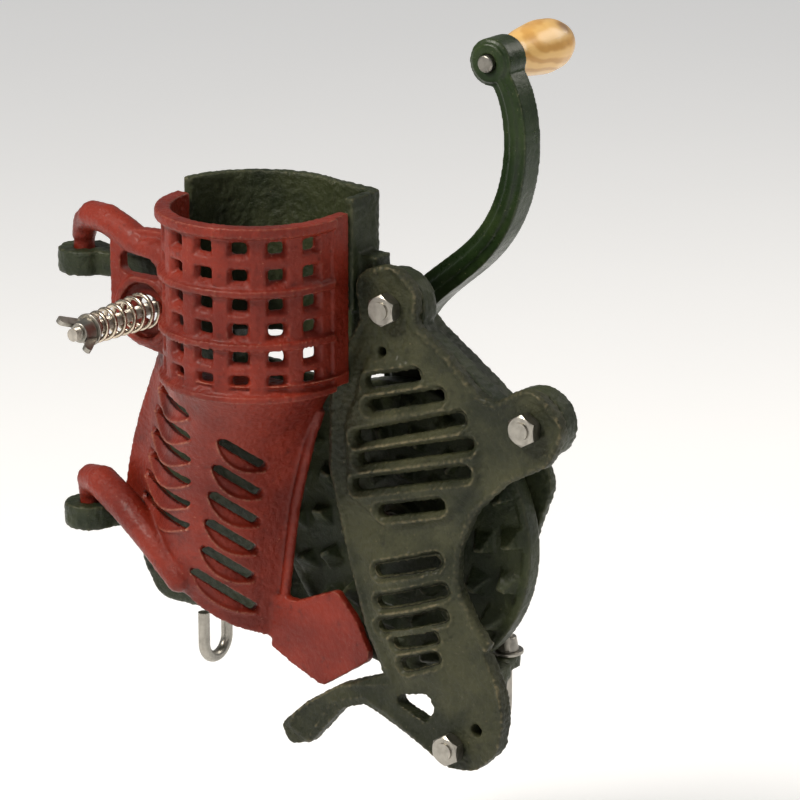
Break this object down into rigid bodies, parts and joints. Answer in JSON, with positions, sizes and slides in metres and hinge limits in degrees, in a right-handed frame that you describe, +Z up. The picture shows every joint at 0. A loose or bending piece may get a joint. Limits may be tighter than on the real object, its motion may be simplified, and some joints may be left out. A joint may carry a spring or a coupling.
{
  "type": "hand-cranked corn sheller",
  "caption": "Bench-clamped cast-iron corn sheller with toothed disc, sprung red throat plate, slotted guard cover and long curved crank with a wooden grip.",
  "frame": {"origin": "on the underside of the foot, straight below the shaft axis, midway across the foot's depth", "axes": "+Z up, +Y from the guard cover toward the crank, +X toward the disc side, away from the feed throat"},
  "size_m": [0.2809, 0.1999, 0.3345],
  "materials": {
    "red_paint": "satin",
    "green_paint": "satin",
    "cover_paint": "matte",
    "crank_paint": "gloss",
    "zinc_steel": "satin",
    "turned_steel": "satin",
    "spring_steel": "gloss",
    "bush_metal": "satin",
    "wood": "satin"
  },
  "bodies": {
    "frame": {"main_housing": "green_paint", "throat_back": "green_paint", "cover_rim": "green_paint", "cover_lug": "green_paint", "upper_hinge_arm": "green_paint", "lower_hinge_arm": "green_paint", "guard_cover": "cover_paint", "cover_bolts": "zinc_steel", "cover_nuts": "zinc_steel", "shaft_bush": "bush_metal", "spring_bolt": "zinc_steel", "spring_bolt_nut": "zinc_steel", "left_hook_washer": "zinc_steel", "right_hook_washer": "zinc_steel", "pressure_spring": "spring_steel"},
    "rotor": {"shelling_disc": "green_paint", "shaft": "turned_steel", "disc_key": "zinc_steel", "thrust_washer": "zinc_steel", "crank_spacer": "zinc_steel", "crank_arm": "crank_paint", "crank_washer": "zinc_steel", "crank_nut": "zinc_steel", "grip_pin": "zinc_steel"},
    "grip": {"wooden_grip": "wood"},
    "pressure_plate": {"pressure_plate": "red_paint"},
    "spring_follower": {"spring_washer": "zinc_steel"},
    "spring_nut": {"spring_wing_nut": "zinc_steel"},
    "left_hook": {"left_hook_bolt": "zinc_steel"},
    "left_nut": {"left_wing_nut": "zinc_steel"},
    "right_hook": {"right_hook_bolt": "zinc_steel"},
    "right_nut": {"right_wing_nut": "zinc_steel"}
  },
  "joints": [
    {"name": "crank_turn", "type": "hinge", "parent": "frame", "child": "rotor", "pos_m": [0, -0.0235, 0.066], "axis": [0, 1, 0], "continuous": true},
    {"name": "grip_spin", "type": "hinge", "parent": "rotor", "child": "grip", "pos_m": [0.0165, 0.0665, 0.278], "axis": [0, 1, 0], "continuous": true},
    {"name": "plate_swing", "type": "hinge", "parent": "frame", "child": "pressure_plate", "pos_m": [-0.1685, -0.0435, 0.106], "axis": [0, 0, -1], "range_deg": [0, 7], "stiffness_Nm_per_rad": 7, "springref_deg": -20.05, "deforming": ["pressure_spring"]},
    {"name": "spring_follower_slide", "type": "slide", "parent": "frame", "child": "spring_follower", "axis": [0, 1, 0], "range_m": [-0.003, 0.003], "deforming": ["pressure_spring"]},
    {"name": "spring_nut_turn", "type": "hinge", "parent": "spring_follower", "child": "spring_nut", "pos_m": [-0.117, -0.1095, 0.1605], "axis": [0, 1, 0], "range_deg": [-1080, 1080]},
    {"name": "left_hook_lift", "type": "slide", "parent": "frame", "child": "left_hook", "axis": [0, 0, 1], "range_m": [-0.008, 0.002]},
    {"name": "left_nut_turn", "type": "hinge", "parent": "frame", "child": "left_nut", "pos_m": [-0.121, 0.0005, 0.011], "axis": [0, 0, -1], "range_deg": [-2880, 720]},
    {"name": "right_hook_lift", "type": "slide", "parent": "frame", "child": "right_hook", "axis": [0, 0, 1], "range_m": [-0.008, 0.002]},
    {"name": "right_nut_turn", "type": "hinge", "parent": "frame", "child": "right_nut", "pos_m": [0.042, 0.0005, 0.011], "axis": [0, 0, -1], "range_deg": [-2880, 720]}
  ],
  "couplings": [
    {"joint": "spring_nut_turn", "follows": "spring_follower_slide", "rad_per_m": 6283.2},
    {"joint": "left_nut_turn", "follows": "left_hook_lift", "rad_per_m": 6283.2},
    {"joint": "right_nut_turn", "follows": "right_hook_lift", "rad_per_m": 6283.2}
  ]
}
